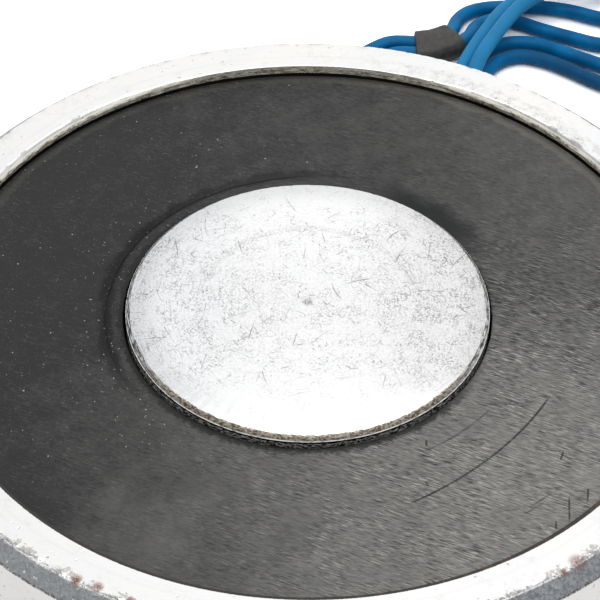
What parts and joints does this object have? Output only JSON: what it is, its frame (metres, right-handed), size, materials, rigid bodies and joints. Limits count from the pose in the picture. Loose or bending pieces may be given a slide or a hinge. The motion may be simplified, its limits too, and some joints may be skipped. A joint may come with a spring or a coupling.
{
  "type": "lifting electromagnet",
  "caption": "Round pot electromagnet for lifting and holding flat steel: steel cup, central pole, potted coil, tapped back and loose leads.",
  "frame": {"origin": "centre of the flat back face, which rests on z = 0", "axes": "+Z from the back to the pole face; the leads leave the wall near +Y"},
  "size_m": [0.098, 0.1376, 0.038],
  "materials": {
    "pot_steel": "worn zinc plate",
    "pole_steel": "ground, finely scratched",
    "bobbin_plastic": "moulded",
    "copper_winding": "enamelled copper wire",
    "coil_tape": "polyester tape",
    "resin": "poured resin, lightly sanded",
    "bush_rubber": "matt",
    "lead_insulation": "soft sheen",
    "wrap_plastic": "matt",
    "tinned_wire": "tinned copper",
    "splice_sleeve": "heat-shrink sleeve",
    "solder": "dull solder",
    "enamelled_tail": "enamelled copper wire",
    "tail_sleeve": "woven glass sleeving"
  },
  "bodies": {
    "root": {"housing_pot": "pot_steel", "pole_core": "pole_steel", "coil_bobbin": "bobbin_plastic", "coil_winding": "copper_winding", "winding_tape": "coil_tape", "potting_resin": "resin", "exit_grommet": "bush_rubber", "lead_a": "lead_insulation", "lead_b": "lead_insulation", "lead_wrap": "wrap_plastic", "lead_tip_a": "tinned_wire", "lead_tip_b": "tinned_wire", "splice_sleeve_a": "splice_sleeve", "splice_sleeve_b": "splice_sleeve", "solder_joint_a": "solder", "solder_joint_b": "solder", "coil_tail_a": "enamelled_tail", "coil_tail_b": "enamelled_tail", "tail_sleeve_a": "tail_sleeve", "tail_sleeve_b": "tail_sleeve"}
  },
  "joints": []
}
